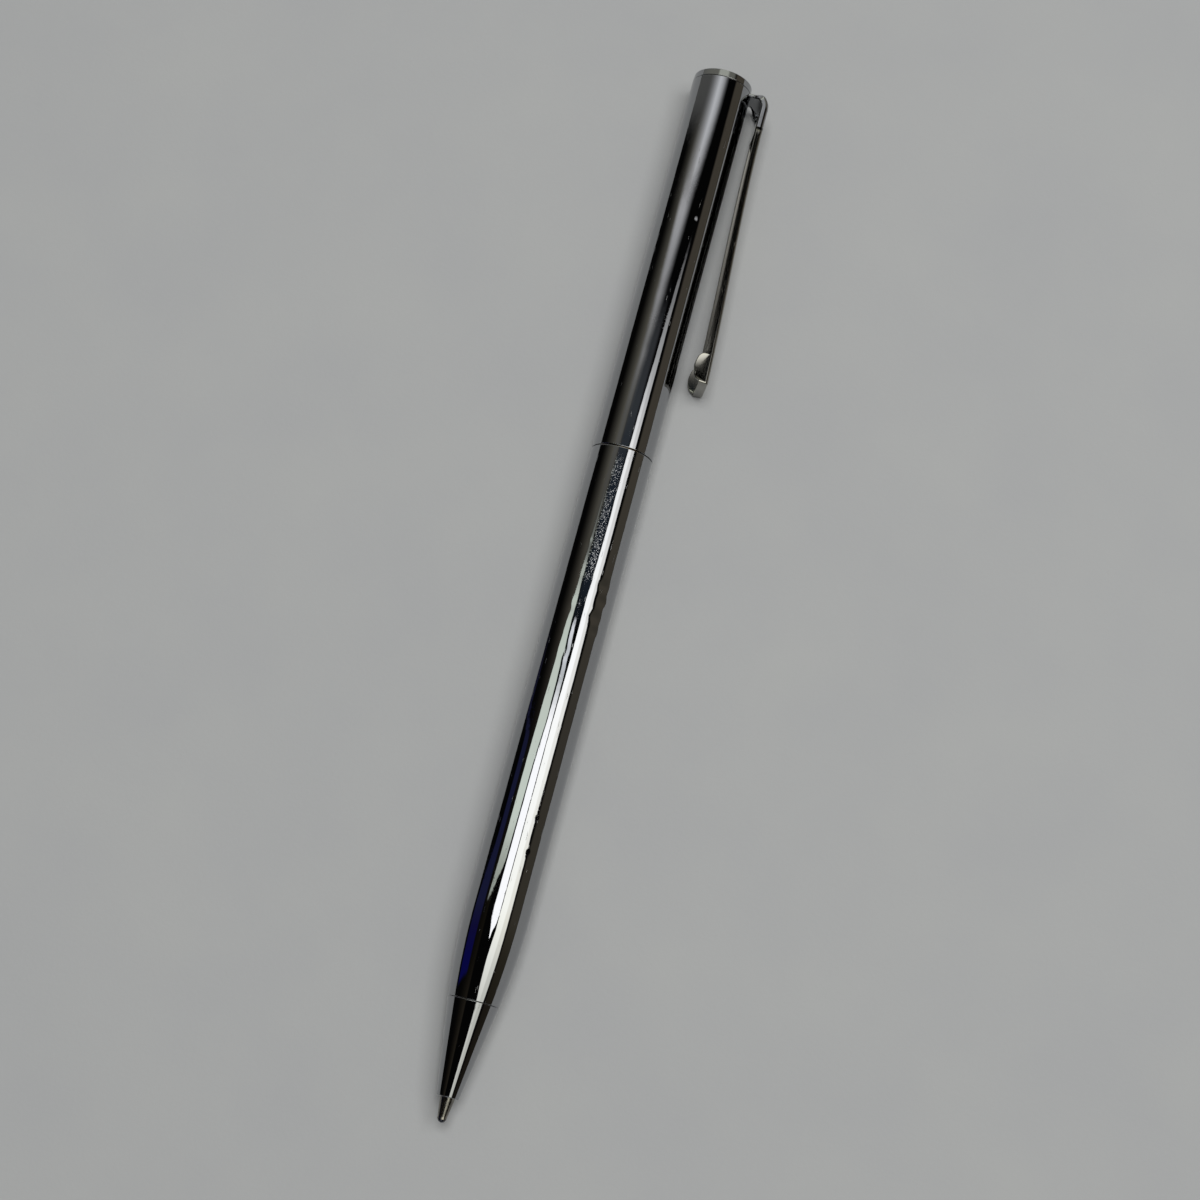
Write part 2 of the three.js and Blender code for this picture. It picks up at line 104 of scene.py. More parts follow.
def mix_colours(tree, factor, first, second):
    """A mix of two colours: the first where the factor is 0 and the second where it is 1."""
    mixed = add_node(tree, "Mix", {"Factor": factor, "A": first, "B": second}, data_type="RGBA")
    return mixed.outputs["Result"]


def object_place(tree):
    """The place on the object, in metres from its origin."""
    return add_node(tree, "TexCoord").outputs["Object"]


def principled(tree, sockets):
    """The surface shader with these sockets, joined to the material's output."""
    shader = add_node(tree, "BsdfPrincipled", sockets)
    add_node(tree, "OutputMaterial", {"Surface": shader.outputs["BSDF"]})


def new_material(name):
    """A material with an empty node tree."""
    material = bpy.data.materials.new(name)
    material.use_nodes = True
    material.node_tree.nodes.clear()
    return material


def make_mesh(name, points, faces, material, normals=None):
    """An object whose mesh has these points, in metres, and these faces. Smooth normals are given for each
    point, or else come from the faces, with edges sharper than 35 degrees left crisp."""
    mesh = bpy.data.meshes.new(name)
    mesh.from_pydata(np.asarray(points).reshape(-1, 3).tolist(), [], faces)
    mesh.polygons.foreach_set("use_smooth", np.ones(len(mesh.polygons), bool))
    mesh.update()
    if normals is None:
        mesh.set_sharp_from_angle(angle=math.radians(35))
    else:
        mesh.normals_split_custom_set_from_vertices(np.asarray(normals).reshape(-1, 3).tolist())
    mesh.materials.append(material)
    made = bpy.data.objects.new(name, mesh)
    scene.collection.objects.link(made)
    return made


paper_half = 1.2
paper = new_material("uncoated_paper")
tree = paper.node_tree
place = object_place(tree)
clouds = add_node(tree, "TexNoise", {"Vector": place, "Scale": 60.0, "Detail": 3.0})
fibres = add_node(tree, "TexNoise", {"Vector": place, "Scale": 1800.0, "Detail": 2.0})
tone = mix_colours(tree, clouds.outputs["Fac"], linear("#a5a6a7"), linear("#acadab"))
dents = add_node(tree, "Bump", {"Height": clouds.outputs["Fac"], "Distance": 0.0004, "Strength": 0.5})
grain = add_node(tree, "Bump", {"Height": fibres.outputs["Fac"], "Distance": 0.00003, "Strength": 0.6,
                                "Normal": dents.outputs["Normal"]})
principled(tree, {"Base Color": tone, "Roughness": 0.85, "Specular IOR Level": 0.2,
                  "Normal": grain.outputs["Normal"]})
sheet_corners = [(-paper_half, -paper_half, 0), (paper_half, -paper_half, 0),
                 (paper_half, paper_half, 0), (-paper_half, paper_half, 0)]
table = make_mesh("paper_table", sheet_corners, [(0, 1, 2, 3)], paper)


# The lamps: a soft lamp overhead and a broader one on the clip's side, which gives the soft shadow on the
# pen's other side. The plate mirrors the room in place of them, so they are hidden from its reflections.
def add_lamp(name, place, size, share):
    """A square lamp that points at the pen. Its share is of the light that makes white paper look white,
    which takes pi squared times the distance squared, in watts."""
    light = bpy.data.lights.new(name, "AREA")
    light.shape = "SQUARE"
    light.size = size
    lamp = bpy.data.objects.new(name, light)
    lamp.location = place
    lamp.rotation_euler = Vector(place).to_track_quat("Z", "Y").to_euler()
    distance = Vector(place).length
    slope = place[2] / distance
    light.energy = share * math.pi ** 2 * distance ** 2 / slope
    lamp.visible_glossy = False
    scene.collection.objects.link(lamp)


add_lamp("overhead_lamp", (0.0, 0.12, 1.0), 0.35, 0.46)
add_lamp("side_lamp", (0.34, 0.1, 0.95), 0.5, 0.38)

# The room, as the plate mirrors it. It is dark, with three bright windows above the pen, a pale wall beyond
# its cap end and dim brown walls. Angles are in degrees: round the pen from the camera's side, and up
# towards the cap end.
room_round = 110.0
room_low = -70.0
room_high = 75.0
world = bpy.data.worlds.new("room")
scene.world = world
world.use_nodes = True
tree = world.node_tree
tree.nodes.clear()
direction = add_node(tree, "TexCoord").outputs["Generated"]
camera_side = lean @ Vector((0, 0, 1))
clip_side = lean @ Vector((1, 0, 0))
over, aside, ahead = (
    add_node(tree, "VectorMath", {0: direction, 1: side}, operation="DOT_PRODUCT").outputs["Value"]
    for side in (camera_side, clip_side, (0, 1, 0)))


def operate(tree, kind, *values):
    """One step of arithmetic on one or two values."""
    return add_node(tree, "Math", dict(enumerate(values)), operation=kind).outputs["Value"]


def share_of_range(tree, value, low, high, **settings):
    """Where a value lies between low, which gives 0, and high, which gives 1."""
    return add_node(tree, "MapRange", {"Value": value, "From Min": low, "From Max": high},
                    **settings).outputs["Result"]


turn = share_of_range(tree, operate(tree, "ARCTAN2", aside, over), math.radians(-room_round),
                      math.radians(room_round))
rise = share_of_range(tree, operate(tree, "ARCSINE", ahead), math.radians(room_low), math.radians(room_high))


def edge_of(points):
    """One edge of a patch: how far round it lies, at each height of the room that the points name."""
    curve = add_node(tree, "FloatCurve", {"Value": rise})
    line = curve.mapping.curves[0]
    spots = [((up - room_low) / (room_high - room_low), (around + room_round) / (2 * room_round))
             for up, around in sorted(points)]
    while len(line.points) < len(spots):
        line.points.new(0.5, 0.5)
    for point, spot in zip(line.points, spots):
        point.location = spot
        point.handle_type = "VECTOR"
    curve.mapping.update()
    return curve.outputs["Value"]


def step_over(value, soft):
    """Rises from 0 to 1, slowly at first and at last, as the value goes from 0 to soft."""
    return share_of_range(tree, value, 0.0, soft, interpolation_type="SMOOTHSTEP")


def patch(below, left, right_side, low, high, colours, soft=(1.5, 1.5, 1.5), fading=False):
    """Lays a patch of the room over what is below it, the patches so far or a plain colour. It lies between
    two edges, from low to high. Its colour changes with height through (height, hex) pairs, and soft gives
    the softness of its left, right and ends. A fading patch grows from its left edge as the square of the
    distance."""
    span = 2 * room_round
    height = room_high - room_low
    from_left = operate(tree, "SUBTRACT", turn, edge_of(left))
    from_right = operate(tree, "SUBTRACT", edge_of(right_side), turn)
    if fading:
        part = share_of_range(tree, from_left, 0.0, soft[0] / span)
        left_share = operate(tree, "MULTIPLY", part, part)
    else:
        left_share = step_over(from_left, soft[0] / span)
    sides = operate(tree, "MULTIPLY", left_share, step_over(from_right, soft[1] / span))
    from_low = operate(tree, "SUBTRACT", rise, (low - room_low) / height)
    from_high = operate(tree, "SUBTRACT", (high - room_low) / height, rise)
    end_soft = soft[2] / height
    ends = operate(tree, "MULTIPLY", step_over(from_low, end_soft), step_over(from_high, end_soft))
    ramp = add_node(tree, "ValToRGB", {"Fac": rise})
    stops = ramp.color_ramp.elements
    while len(stops) < len(colours):
        stops.new(0.5)
    while len(stops) > len(colours):
        stops.remove(stops[-1])
    for stop, (up, colour) in zip(stops, colours):
        stop.position = (up - room_low) / height
        stop.color = linear(colour)
    return mix_colours(tree, operate(tree, "MULTIPLY", sides, ends), below, ramp.outputs["Color"])


# The far wall: brown, but dark and then navy towards the writing point
seen = patch(linear("#040404"), [(-40, -80), (70, -80)],
             [(-40, -28), (10, -34), (13, -30), (15.5, -20), (18.3, -16), (70, -8)], -40, 32,
             [(-40, "#2c2822"), (-16, "#1c1914"), (-6, "#110f0b"), (4, "#100e0a"), (10, "#171511"),
              (13, "#34312b"), (18, "#46443d"), (32, "#46443d")], (41, 5, 4), fading=True)
seen = patch(seen, [(-40, -90), (5.5, -90), (7, -76), (9.8, -76), (10.4, -98), (70, -98)],
             [(-40, -54), (9.8, -55), (10.4, -84), (70, -84)], -8.2, 13,
             [(-9, "#070728"), (-7, "#08083c"), (-4, "#08083c"), (1, "#0e0c30"), (5, "#151730"),
              (9, "#15172e"), (12, "#12121e")], (4, 4, 1.5))
# The dim middle of the ceiling
seen = patch(seen, [(-40, -24), (70, -24)], [(-40, 20), (70, 20)], 12.6, 22.6,
             [(13, "#14181e"), (17, "#1a2028"), (19, "#2e3134"), (21.5, "#2a2b2d")], (14, 12, 1.5))
# The pale wall beyond the cap end
seen = patch(seen, [(-40, -112), (70, -112)], [(25, 10), (70, 14)], 26, 80,
             [(26, "#3a3a39"), (31, "#4c4c4a"), (45, "#6c6c6a"), (70, "#6c6c6a")], (10, 8, 1.5))
seen = patch(seen, [(15, -40), (19, -43), (21.2, -39), (23.4, -44.5), (25, -49), (70, -49)],
             [(15, -12), (17, -10), (19, -7), (21.2, 0), (23.4, 6), (25, 9), (70, 9)], 14.5, 25.6,
             [(15, "#3c3b37"), (19, "#525250"), (21.2, "#747474"), (23.4, "#8a8a8b"), (25, "#9c9c9d")],
             (17, 28, 1.2))
seen = patch(seen, [(25.5, -58), (27.2, -55), (70, -55)],
             [(24.6, 9), (25.5, 13), (27.2, 21), (70, 21)], 24.6, 34,
             [(24.6, "#9c9c9d"), (25.5, "#a4a4a5"), (27.2, "#acadaf")], (41, 34, 1), fading=True)
seen = patch(seen, [(25, -112), (70, -112)], [(25, 46), (70, 46)], 29, 80,
             [(29, "#55554f"), (45, "#64645e"), (70, "#64645e")], (60, 14, 2.5))
seen = patch(seen, [(25, -30), (70, -34)], [(25, 16), (70, 30)], 29.5, 80,
             [(29, "#8c8e86"), (40, "#979990"), (70, "#979990")], (9, 12, 2.5))
# The brown wall on the clip's side
seen = patch(seen, [(-40, 46), (24, 47), (30, 44), (36, 40), (70, 40)], [(-40, 89), (70, 89)], -60, 80,
             [(-40, "#2c2822"), (-18, "#100e0c"), (-10, "#1d1a14"), (-3, "#24211a"), (3, "#302d26"),
              (10, "#322f29"), (18, "#39352e"), (70, "#38342d")], (8, 8, 5))
# The three windows: greenish, white and the long one on the clip's side, whose left part is the brightest
seen = patch(seen,
             [(4, -52), (5.5, -48), (6.4, -45.5), (7.7, -44), (9, -44.5), (10.4, -42.5), (11.7, -39.5),
              (12.8, -38), (13.8, -34), (14.9, -31), (15.9, -29), (17, -28)],
             [(4, -50), (5.2, -44), (5.7, -34), (6.4, -20.5), (9, -17.5), (10.4, -11), (11.7, -14.5),
              (12.8, -17.5), (13.8, -18.5), (14.9, -21), (15.9, -23), (17, -25)], 5, 16.8,
             [(5, "#8a8f86"), (6.4, "#989d93"), (7.7, "#c2cabf"), (13, "#b8c0b5"), (14.2, "#adb2a9"),
              (15, "#686b66"), (16.5, "#585a56")], (1, 2.5, 0.6))
seen = patch(seen, [(-1.8, -7), (0, -10), (2, -15.5), (5, -18), (6.4, -16.5), (9, -15.5), (10.4, -9.5),
                    (11.7, -8.5), (12.8, -14), (13.4, -11)],
             [(-1.8, -4), (0, -1.5), (1, 5), (3, 7.4), (10.4, 7.4), (11.7, 6), (12.8, -1), (13.4, -4)],
             -1.8, 13.4, [(-2, "#fdfdfd"), (10.4, "#fbfbfb"), (11.6, "#a9adae"), (13, "#d9dbdf")],
             (1, 1, 0.5))
long_left = [(-50, 8), (-30, 12), (-17, 13.5), (-16, 14), (-10.5, 6.5), (-5, 4.2), (0, 8.8), (10.4, 9.2),
             (11.7, 12), (12.8, 11.6), (13.8, 11), (14.9, 14.6), (15.9, 17.4), (16.9, 16.2), (19, 18.6),
             (21.2, 24.5), (22.3, 28), (23.6, 33)]
seen = patch(seen, long_left,
             [(-50, 34), (-30, 37), (-16, 40), (-10.5, 43.5), (-5, 46), (5.1, 45), (6.4, 45), (7.7, 42),
              (9, 44.5), (11.7, 44), (13.8, 40.5), (14.9, 42), (18.3, 41.3), (23.6, 40)], -50, 23.9,
             [(-50, "#7a7a76"), (-20, "#a8a8a0"), (-8, "#c0c0b8"), (3, "#dedcd0"), (9, "#e9e8e1"),
              (14, "#dad9d5"), (18, "#cac9c7"), (20, "#a0a0a0"), (22, "#787878"), (23.4, "#505050")],
             (0.9, 2, 0.8))
seen = patch(seen, long_left,
             [(-50, 22), (-16, 26), (-5, 30), (6.4, 33), (13.8, 32), (16.9, 31), (19.6, 32), (23.6, 36)],
             -50, 20.6,
             [(-50, "#8a8a86"), (-20, "#b4b4ac"), (-8, "#d8d8d0"), (3, "#f4f4ea"), (12, "#fcfcfa"),
              (18, "#e8e8e6"), (20, "#b0b0b0")], (0.9, 5, 1.2))
# A dim window low behind the camera, which only other views show
seen = patch(seen, [(-70, -50), (-20, -50)], [(-70, 40), (-20, 40)], -90, -36,
             [(-70, "#9a9b9c"), (-40, "#7c7d7e")], (30, 30, 10))
plate_reflects = 0.37
pale = linear("#b4b5b5")
light_path = add_node(tree, "LightPath")
room = add_node(tree, "Background", {"Color": seen, "Strength": 1.0 / plate_reflects})
ambient = add_node(tree, "Background", {"Color": pale, "Strength": 0.35})
horizon = add_node(tree, "Background", {"Color": pale, "Strength": 1.0})
mirrored = add_node(tree, "MixShader", {0: light_path.outputs["Is Glossy Ray"],
                                        1: ambient.outputs["Background"], 2: room.outputs["Background"]})
shown = add_node(tree, "MixShader", {0: light_path.outputs["Is Camera Ray"],
                                     1: mirrored.outputs["Shader"], 2: horizon.outputs["Background"]})
add_node(tree, "OutputWorld", {"Surface": shown.outputs["Shader"]})


# The lower barrel: a thin drawn brass tube, swaged in over its last 11.4 mm to meet the nose cone, polished
# and plated with bright chromium. Plate mirrors the room sharply, and years of use leave scuffs and dings.
def turned(rows, columns=192, dings=()):
    """A turned surface as (points, faces, normals), in millimetres from the pen's axis and writing point.
    Row i holds a radius, a place along the axis and the two parts of the normal there. Point (i, j) lies at
    that radius, at the angle 2 pi j / columns, and the last row joins the first. A radius of 0 is one shared
    point. Dings move points along their normals, and tilt the normals by the dings' slopes."""
    rows = np.asarray(rows, float)
    angle = np.arange(columns) * 2 * math.pi / columns
    radius, along, out, end = (rows[:, k, None] for k in range(4))
    circle = np.stack([np.cos(angle), np.sin(angle)])
    level = np.ones(columns)
    points = np.stack([radius * circle[0], along * level, radius * circle[1]], -1)
    normals = np.stack([out * circle[0], end * level, out * circle[1]], -1)
    if dings:
        depth, around_slope, along_slope = ding_depth(dings, angle[None, :], along, radius)
        depth, around_slope, along_slope = (out * part for part in (depth, around_slope, along_slope))
        points = points + normals * depth[..., None]
        round_axis = np.stack([-circle[1] * level, 0 * level, circle[0] * level], -1)
        normals = normals - around_slope[..., None] * round_axis
        normals[..., 1] -= along_slope
        normals = normals / np.linalg.norm(normals, axis=-1, keepdims=True)
    label = np.arange(len(rows) * columns).reshape(len(rows), columns)
    label[rows[:, 0] < 1e-6] = label[rows[:, 0] < 1e-6][:, :1]
    below = label
    above = np.roll(label, -1, axis=0)
    if rows[0, 0] < 1e-6:
        below, above = below[:-1], above[:-1]
    quads = np.stack([below, above, np.roll(above, -1, axis=1), np.roll(below, -1, axis=1)], -1)
    return weld_faces(points.reshape(-1, 3), quads.reshape(-1, 4), normals.reshape(-1, 3))


def six_volumes(points, quads):
    """Six times the volume within a skin of four-cornered faces, which is negative where they face inwards.
    Each face p, q, r, s adds p dot (q cross r) and p dot (r cross s)."""
    p, q, r, s = (points[quads[:, k]] for k in range(4))
    return np.einsum("ij,ij->", p, np.cross(q, r)) + np.einsum("ij,ij->", p, np.cross(r, s))


def weld_faces(points, quads, normals):
    """Drops points that no face uses and corners that a face repeats, and turns all faces outwards."""
    used, corner = np.unique(quads, return_inverse=True)
    corner = corner.reshape(quads.shape)
    points = points[used]
    if six_volumes(points, corner) < 0:
        corner = corner[:, ::-1]
    faces = [list(dict.fromkeys(face)) for face in corner.tolist()]
    return points, [face for face in faces if len(face) > 2], normals[used]


def outline(corners, closed=True, arc_steps=5, longest=3.0):
    """The rows of a turned outline. Corners are (radius, along, rounding). A rounded corner becomes an arc
    that touches both sides, a corner with rounding 0 lies on a smooth curve and takes the mean of its sides'
    normals, and a side longer than the longest step is cut into equal steps."""
    spots = np.array([corner[:2] for corner in corners], float)
    after = np.roll(spots, -1, axis=0) - spots
    length = np.linalg.norm(after, axis=1)
    area = np.sum(spots[:, 0] * np.roll(spots[:, 1], -1) - np.roll(spots[:, 0], -1) * spots[:, 1])
    sign = np.sign(area)
    heading = after / np.maximum(length, 1e-9)[:, None]
    normal = sign * np.stack([heading[:, 1], -heading[:, 0]], -1)
    rows = []
    for k, (radius, along, rounding) in enumerate(corners):
        first = not closed and k == 0
        last = not closed and k == len(corners) - 1
        before_normal = normal[k] if first else normal[k - 1]
        after_normal = normal[k - 1] if last else normal[k]
        if first or last:
            pieces = [(spots[k], np.array([0.0, np.sign(before_normal[1])]))]
        elif rounding == 0:
            mean = before_normal / length[k - 1] + after_normal / length[k]
            pieces = [(spots[k], mean / np.linalg.norm(mean))]
        else:
            sine = before_normal[0] * after_normal[1] - before_normal[1] * after_normal[0]
            cosine = before_normal @ after_normal
            swing = math.atan2(sine, cosine)
            bulge = 1.0 if swing * sign > 0 else -1.0
            centre = spots[k] - bulge * rounding * (before_normal + after_normal) / (1 + cosine)
            turns = np.linspace(0, swing, arc_steps + 1)
            arc = np.stack([before_normal[0] * np.cos(turns) - before_normal[1] * np.sin(turns),
                            before_normal[0] * np.sin(turns) + before_normal[1] * np.cos(turns)], -1)
            pieces = [(centre + bulge * rounding * n, n) for n in arc]
        if rows:
            gap = pieces[0][0] - start_of_side
            cuts = int(np.linalg.norm(gap) // longest)
            for share in np.arange(1, cuts + 1) / (cuts + 1):
                rows.append(np.array([*(start_of_side + gap * share), *before_normal]))
        rows.extend(np.array([*spot, *n]) for spot, n in pieces)
        start_of_side = rows[-1][:2]
    if closed:
        gap = rows[0][:2] - start_of_side
        cuts = int(np.linalg.norm(gap) // longest)
        for share in np.arange(1, cuts + 1) / (cuts + 1):
            rows.append(np.array([*(start_of_side + gap * share), *normal[-1]]))
    return np.array(rows)


def to_row(points):
    """Millimetres from the pen's axis and writing point as metres in the row frame."""
    return np.asarray(points) * 0.001 + np.array([axis_x, tip_y, axis_z])


def fit_piece(name, points, faces, material, body, normals=None):
    """A piece that stands for the CAD node of its own name and rides on a body, with points in metres."""
    made = make_mesh(name + "_surface", points, faces, material, normals)
    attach(made, body)
    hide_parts(name)


def turned_piece(name, rows, material, body, columns=192, dings=()):
    """A turned surface, fitted as the piece of that name."""
    points, faces, normals = turned(rows, columns, dings)
    fit_piece(name, to_row(points), faces, material, body, normals)


def plated(name, colour, smooth, worn):
    """Chromium plate with the wear of years. Its roughness goes from smooth, where it is whole, to worn."""
    material = new_material(name)
    tree = material.node_tree
    place = object_place(tree)
    # Waves left by polishing, about 8 mm long and 2 mm wide, and too shallow to feel
    waves = add_node(tree, "Mapping", {"Vector": place, "Scale": (500.0, 120.0, 500.0)})
    ripple = add_node(tree, "TexNoise", {"Vector": waves.outputs["Vector"], "Scale": 1.0, "Detail": 4.0})
    # Scuffs: patches a few millimetres wide, filled with marks about 0.2 mm long
    patches = add_node(tree, "TexNoise", {"Vector": place, "Scale": 220.0, "Detail": 2.0})
    rubbed = add_node(tree, "ValToRGB", {"Fac": patches.outputs["Fac"]})
    rubbed.color_ramp.elements[0].position = 0.56
    rubbed.color_ramp.elements[1].position = 0.74
    rubbed.color_ramp.elements[1].color = (0.35, 0.35, 0.35, 1.0)
    # A worn strip about 18 mm long on top of the lower barrel, which no other plated piece reaches
    strip_x = axis_x + 0.0002
    strip_half = 0.0006
    strip_y = 0.006
    strip_reach = 0.009
    spot = add_node(tree, "SeparateXYZ", {"Vector": place})
    off_strip = operate(tree, "ABSOLUTE", operate(tree, "SUBTRACT", spot.outputs["X"], strip_x))
    past_strip = operate(tree, "ABSOLUTE", operate(tree, "SUBTRACT", spot.outputs["Y"], strip_y))
    strip = operate(tree, "MULTIPLY", share_of_range(tree, off_strip, strip_half, strip_half * 0.6),
                    share_of_range(tree, past_strip, strip_reach, strip_reach * 0.7))
    thin = operate(tree, "MAXIMUM", rubbed.outputs["Color"], strip)
    marks = add_node(tree, "TexNoise", {"Vector": place, "Scale": 7000.0, "Detail": 2.0, "Roughness": 0.6})
    speckle = add_node(tree, "ValToRGB", {"Fac": marks.outputs["Fac"]})
    speckle.color_ramp.elements[0].position = 0.57
    speckle.color_ramp.elements[1].position = 0.68
    rubbed_marks = operate(tree, "MULTIPLY", speckle.outputs["Color"], thin)
    # Fine scratches, which run at a slant to the pen
    slant = add_node(tree, "Mapping", {"Vector": place, "Rotation": (0.0, 0.0, 0.5),
                                       "Scale": (9000.0, 500.0, 3000.0)})
    hair = add_node(tree, "TexNoise", {"Vector": slant.outputs["Vector"], "Scale": 1.0, "Detail": 1.0})
    scratch = add_node(tree, "ValToRGB", {"Fac": hair.outputs["Fac"]})
    scratch.color_ramp.elements[0].position = 0.74
    scratch.color_ramp.elements[1].position = 0.8
    wear = operate(tree, "ADD", rubbed_marks, scratch.outputs["Color"])
    rough = add_node(tree, "MapRange", {"Value": wear, "To Min": smooth, "To Max": worn})
    wavy = add_node(tree, "Bump", {"Height": ripple.outputs["Fac"], "Distance": 0.00002, "Strength": 0.5})
    scuffed = add_node(tree, "Bump", {"Height": wear, "Distance": 0.000006, "Strength": 0.6,
                                      "Normal": wavy.outputs["Normal"]})
    principled(tree, {"Base Color": linear(colour), "Metallic": 1.0, "Roughness": rough.outputs["Result"],
                      "Normal": scuffed.outputs["Normal"]})
    return material


chrome = plated("bright_chromium_plate", "#a2a3a5", 0.02, 0.3)
barrel_radius = 3.9
barrel_wall = 0.4
nose_joint = 14.05
lower_start = 14.1
twist_joint = 82.85
taper_length = 11.4
taper_drop = 0.82
# Each ding has its angle round the pen in radians, its place along the pen, its width and its depth
lower_dings = [(0.93, 65.4, 0.62, 0.062), (0.82, 63.5, 0.6, 0.062), (0.96, 61.4, 0.66, 0.066),
               (0.84, 59.7, 0.5, 0.036), (1.07, 36.2, 0.3, 0.022), (1.07, 32.1, 0.28, 0.02),
               (1.5, 66.0, 1.1, 0.006), (1.75, 70.0, 0.8, 0.006), (1.78, 62.0, 0.9, 0.007),
               (1.7, 56.0, 0.9, 0.006)]


def ding_depth(dings, angle, along, radius):
    """How far out the surface lies and its slopes round and along the pen. Each ding is a bell-shaped
    hollow: its depth falls with the square of the distance from its middle, as a power of e."""
    depth = np.zeros(np.broadcast(angle, along).shape)
    around_slope = depth.copy()
    along_slope = depth.copy()
    for centre, spot, width, deep in dings:
        from_centre = (angle - centre) * radius
        from_spot = along - spot
        bell = deep * np.exp(-(from_centre ** 2 + from_spot ** 2) / width ** 2)
        depth -= bell
        around_slope += 2 * from_centre / width ** 2 * bell
        along_slope += 2 * from_spot / width ** 2 * bell
    return depth, around_slope, along_slope


taper_radius = (taper_length ** 2 + taper_drop ** 2) / (2 * taper_drop)
taper_along = np.linspace(lower_start, nose_joint + taper_length, 40)
taper_in = nose_joint + taper_length - taper_along
taper_outside = barrel_radius - taper_radius + np.sqrt(taper_radius ** 2 - taper_in ** 2)
lower_outline = [(taper_outside[0], lower_start, 0.06)]
lower_outline += [(r, y, 0) for r, y in zip(taper_outside[1:], taper_along[1:])]
lower_outline += [(barrel_radius, twist_joint, 0.1), (barrel_radius - barrel_wall, twist_joint, 0.05)]
lower_outline += [(r - barrel_wall, y, 0) for r, y in zip(taper_outside[:0:-3], taper_along[:0:-3])]
lower_outline += [(taper_outside[0] - barrel_wall, lower_start, 0.05)]
lower_rows = outline(lower_outline, longest=0.42)
turned_piece("lower_barrel", lower_rows, chrome, "lower", 240, lower_dings)

# The nose cone: turned from brass bar, polished and plated. Its bore steadies the refill's point, and a
# screwed spigot behind the joint holds it in the barrel.
nose_start = 2.9
spigot_end = 19.45
nose_outline = [(1.0, nose_start, 0.08), (1.3, nose_start, 0.1), (3.08, nose_joint, 0.06),
                (2.2, nose_joint, 0.1), (2.2, spigot_end, 0.1), (1.75, spigot_end, 0.1), (1.75, 8.5, 0.1),
                (1.25, 4.5, 0.1), (1.0, 3.3, 0.1)]
turned_piece("nose_cone", outline(nose_outline, longest=1.0), chrome, "lower")


# The bushes, guide tube, helix sleeve and refill tube: turned or drawn from brass and left bare. Cutting
# tools leave fine rings about 0.2 mm apart, and bare brass dulls a little.
def dress(material, *names):
    """Gives a material to the pieces that are shown as the CAD made them."""
    for name in names:
        nodes[name].data.materials.clear()
        nodes[name].data.materials.append(material)


brass = new_material("turned_brass")
tree = brass.node_tree
place = object_place(tree)
rings = add_node(tree, "TexWave", {"Vector": place, "Scale": 1600.0, "Distortion": 0.4},
                 bands_direction="Y")
stain = add_node(tree, "TexNoise", {"Vector": place, "Scale": 300.0, "Detail": 3.0})
tone = mix_colours(tree, stain.outputs["Fac"], linear("#c9a24f"), linear("#a98238"))
rough = add_node(tree, "MapRange", {"Value": stain.outputs["Fac"], "To Min": 0.22, "To Max": 0.42})
lines = add_node(tree, "Bump", {"Height": rings.outputs["Fac"], "Distance": 0.000004, "Strength": 0.5})
principled(tree, {"Base Color": tone, "Metallic": 1.0,
                  "Roughness": rough.outputs["Result"], "Normal": lines.outputs["Normal"]})
dress(brass, "front_bush", "centre_bush", "guide_tube", "helix_sleeve", "clip_bush", "refill_tube")

# The thrust washer, grip sleeve, follower and refill plug: moulded in natural nylon, which is milky, lets a
# little light in and takes the mould's fine satin surface.
nylon = new_material("natural_nylon")
tree = nylon.node_tree
place = object_place(tree)
satin = add_node(tree, "TexNoise", {"Vector": place, "Scale": 5000.0, "Detail": 2.0})
cloud = add_node(tree, "TexNoise", {"Vector": place, "Scale": 150.0})
tone = mix_colours(tree, cloud.outputs["Fac"], linear("#ebe7d9"), linear("#e2dcc9"))
skin = add_node(tree, "Bump", {"Height": satin.outputs["Fac"], "Distance": 0.000008, "Strength": 0.5})
principled(tree, {"Base Color": tone, "Roughness": 0.45, "IOR": 1.53,
                  "Subsurface Weight": 0.2, "Subsurface Scale": 0.0005, "Normal": skin.outputs["Normal"]})
dress(nylon, "thrust_washer", "grip_sleeve", "refill_follower", "refill_plug")

# The retaining ring and the follower's pin: hard spring steel, ground to size. The wheel leaves fine lines
# along the pen, which dull the shine a little.
steel = new_material("ground_steel")
tree = steel.node_tree
place = object_place(tree)
brushed = add_node(tree, "Mapping", {"Vector": place, "Scale": (9000.0, 600.0, 9000.0)})
grain = add_node(tree, "TexNoise", {"Vector": brushed.outputs["Vector"], "Scale": 1.0, "Detail": 2.0})
rough = add_node(tree, "MapRange", {"Value": grain.outputs["Fac"], "To Min": 0.18, "To Max": 0.36})
lines = add_node(tree, "Bump", {"Height": grain.outputs["Fac"], "Distance": 0.000002, "Strength": 0.5})
principled(tree, {"Base Color": linear("#b9babd"), "Metallic": 1.0, "Roughness": rough.outputs["Result"],
                  "Normal": lines.outputs["Normal"]})
dress(steel, "retaining_ring", "follower_pin")

# The ink: a thick paste that fills the refill tube. It is so dark a blue that it is almost black, and it
# looks wet where it shows.
ink = new_material("ballpoint_ink")
tree = ink.node_tree
place = object_place(tree)
settled = add_node(tree, "TexNoise", {"Vector": place, "Scale": 400.0})
tone = mix_colours(tree, settled.outputs["Fac"], linear("#14163a"), linear("#0d0f2b"))
principled(tree, {"Base Color": tone, "Roughness": 0.15, "IOR": 1.45})
dress(ink, "ink")

